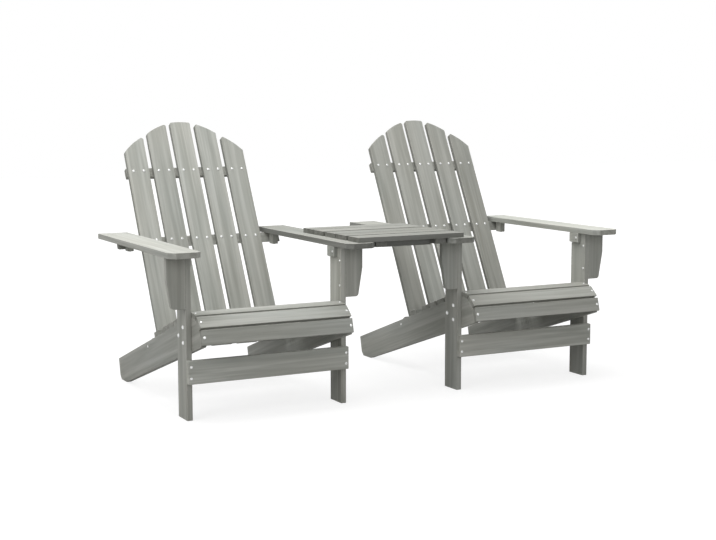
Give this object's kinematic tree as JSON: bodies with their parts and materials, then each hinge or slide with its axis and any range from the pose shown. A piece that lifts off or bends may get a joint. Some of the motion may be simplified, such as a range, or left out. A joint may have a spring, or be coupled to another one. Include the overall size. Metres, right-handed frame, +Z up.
{
  "type": "companion seat bench",
  "caption": "Wooden garden bench of reclined slatted armchairs side by side, joined by a small slatted table on their inner arms.",
  "frame": {"origin": "on the ground, under the middle of the bench's bounding box", "axes": "+X along the bench towards its right end as a person facing it sees it, +Y towards the back, +Z up; the seats face -Y"},
  "size_m": [1.68, 0.8906, 0.913],
  "materials": {
    "slat_wood": "grey-washed, matt, fine lengthwise grain",
    "frame_wood": "grey-washed, matt, fine lengthwise grain",
    "screw_steel": "bright zinc-plated, satin",
    "bolt_steel": "bright zinc-plated, satin"
  },
  "bodies": {
    "root": {"arm_blocks": "frame_wood", "arm_brackets": "frame_wood", "arm_cleats": "frame_wood", "left_arm_left": "slat_wood", "left_arm_right": "slat_wood", "left_back_slat_1": "slat_wood", "left_back_slat_2": "slat_wood", "left_back_slat_3": "slat_wood", "left_back_slat_4": "slat_wood", "left_back_slat_5": "slat_wood", "left_front_leg_left": "frame_wood", "left_front_leg_right": "frame_wood", "left_front_stretcher": "frame_wood", "left_lower_back_rail": "frame_wood", "left_middle_back_rail": "frame_wood", "left_seat_slat_1": "slat_wood", "left_seat_slat_2": "slat_wood", "left_seat_slat_3": "slat_wood", "left_seat_slat_4": "slat_wood", "left_seat_slat_5": "slat_wood", "left_seat_slat_6": "slat_wood", "left_seat_slat_7": "slat_wood", "left_seat_slat_8": "slat_wood", "left_seat_slat_9": "slat_wood", "left_stringer_left": "frame_wood", "left_stringer_right": "frame_wood", "left_upper_back_rail": "frame_wood", "leg_bolts": "bolt_steel", "right_arm_left": "slat_wood", "right_arm_right": "slat_wood", "right_back_slat_1": "slat_wood", "right_back_slat_2": "slat_wood", "right_back_slat_3": "slat_wood", "right_back_slat_4": "slat_wood", "right_back_slat_5": "slat_wood", "right_front_leg_left": "frame_wood", "right_front_leg_right": "frame_wood", "right_front_stretcher": "frame_wood", "right_lower_back_rail": "frame_wood", "right_middle_back_rail": "frame_wood", "right_seat_slat_1": "slat_wood", "right_seat_slat_2": "slat_wood", "right_seat_slat_3": "slat_wood", "right_seat_slat_4": "slat_wood", "right_seat_slat_5": "slat_wood", "right_seat_slat_6": "slat_wood", "right_seat_slat_7": "slat_wood", "right_seat_slat_8": "slat_wood", "right_seat_slat_9": "slat_wood", "right_stringer_left": "frame_wood", "right_stringer_right": "frame_wood", "right_upper_back_rail": "frame_wood", "table_battens": "frame_wood", "table_cross_rail": "frame_wood", "table_slat_1": "slat_wood", "table_slat_2": "slat_wood", "table_slat_3": "slat_wood", "table_slat_4": "slat_wood", "table_slat_5": "slat_wood", "wood_screws": "screw_steel"}
  },
  "joints": []
}
